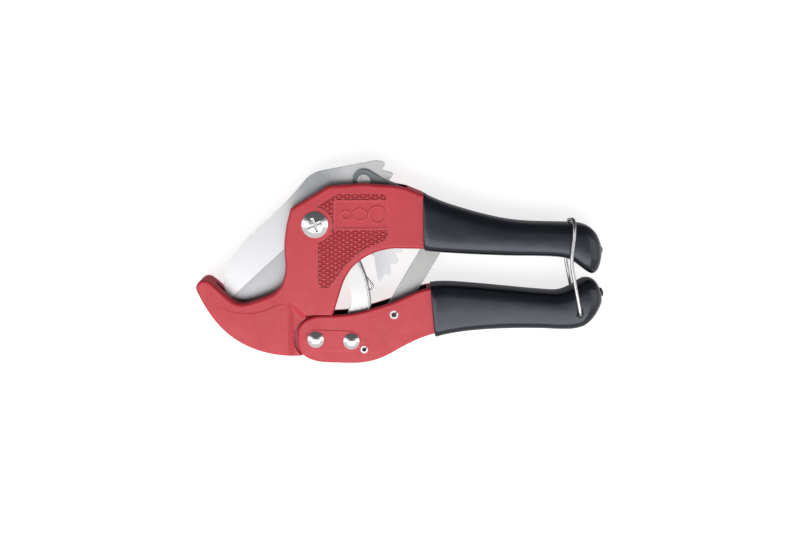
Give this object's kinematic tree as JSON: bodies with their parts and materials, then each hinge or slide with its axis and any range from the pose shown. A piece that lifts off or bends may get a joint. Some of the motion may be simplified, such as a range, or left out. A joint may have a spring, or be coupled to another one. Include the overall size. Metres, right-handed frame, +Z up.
{
  "type": "pipe cutter",
  "caption": "Hand-held ratchet cutter for plastic pipe: hooked jaw, wide pivoting blade with a toothed sector, grips and a wire bail that locks the handles shut.",
  "frame": {"origin": "middle of the footprint of the closed tool, lying on its side, at the height of the surface it rests on", "axes": "+X from the hooked jaw to the ends of the handles, +Y from the lower handle to the upper one, +Z up along every hinge"},
  "size_m": [0.2015, 0.1002, 0.0278],
  "materials": {
    "red_paint": "satin red enamel over a cast aluminium body, light texture from the mould",
    "grip_vinyl": "black dipped vinyl, soft sheen with faint waviness",
    "blade_steel": "hardened blade, ground flat, with a finer ground bevel",
    "bright_steel": "polished nickel plate with fine scratches",
    "zinc_plate": "bright zinc plate, slightly cloudy",
    "strap_steel": "satin rolled steel strap",
    "dark_link": "dark blued steel plate",
    "pin_steel": "plain rolled spring pin",
    "wire_steel": "hard drawn bright wire"
  },
  "bodies": {
    "frame": {"frame": "red_paint", "upper_grip": "grip_vinyl", "pivot_screw": "bright_steel", "pivot_nut": "zinc_plate", "pivot_bushing": "zinc_plate", "blade_washers": "zinc_plate", "spring_anchor": "pin_steel", "stop_pawl_pin": "pin_steel", "stop_pawl_spring": "wire_steel"},
    "blade": {"blade": "blade_steel", "link_rivet": "zinc_plate"},
    "spring_link": {"spring_link": "dark_link", "blade_spring": "wire_steel"},
    "lower_handle": {"lower_handle": "red_paint", "lower_grip": "grip_vinyl", "handle_rivet": "bright_steel", "lever_rivet": "bright_steel", "feed_pawl_pin": "pin_steel", "pawl_spacers": "zinc_plate", "spring_pin": "pin_steel"},
    "feed_pawl": {"feed_pawl": "strap_steel"},
    "opening_lever": {"opening_lever": "zinc_plate", "handle_spring": "wire_steel"},
    "stop_pawl": {"stop_pawl": "strap_steel"},
    "wire_bail": {"wire_bail": "wire_steel"}
  },
  "joints": [
    {"name": "handle_hinge", "type": "hinge", "parent": "frame", "child": "lower_handle", "pos_m": [-0.04177, -0.03806, 0.0139], "axis": [0, 0, -1], "range_deg": [0, 28]},
    {"name": "blade_hinge", "type": "hinge", "parent": "frame", "child": "blade", "pos_m": [-0.04177, 0.01914, 0.0139], "axis": [0, 0, -1], "range_deg": [0, 60]},
    {"name": "link_swing", "type": "hinge", "parent": "blade", "child": "spring_link", "pos_m": [-0.01787, 0.04024, 0.0139], "axis": [0, 0, 1], "range_deg": [0, 95], "deforming": ["blade_spring"]},
    {"name": "feed_pawl_swing", "type": "hinge", "parent": "lower_handle", "child": "feed_pawl", "pos_m": [-0.00297, -0.02566, 0.0139], "axis": [0, 0, 1], "range_deg": [0, 38.5]},
    {"name": "lever_swing", "type": "hinge", "parent": "lower_handle", "child": "opening_lever", "pos_m": [-0.02407, -0.03886, 0.0139], "axis": [0, 0, 1], "range_deg": [0, 33.5], "deforming": ["handle_spring"]},
    {"name": "stop_pawl_lift", "type": "hinge", "parent": "frame", "child": "stop_pawl", "pos_m": [0.01423, 0.02414, 0.0139], "axis": [0, 0, -1], "range_deg": [0, 12]},
    {"name": "bail_swing", "type": "hinge", "parent": "lower_handle", "child": "wire_bail", "pos_m": [0.08893, -0.02496, 0.0139], "axis": [0, 0, -1], "range_deg": [0, 168.5]}
  ],
  "couplings": [
    {"joint": "link_swing", "follows": "blade_hinge", "ratio": 1.573},
    {"joint": "feed_pawl_swing", "follows": "handle_hinge", "ratio": 1.35},
    {"joint": "lever_swing", "follows": "handle_hinge", "ratio": 1.18},
    {"joint": "bail_swing", "follows": "handle_hinge", "ratio": 6}
  ]
}
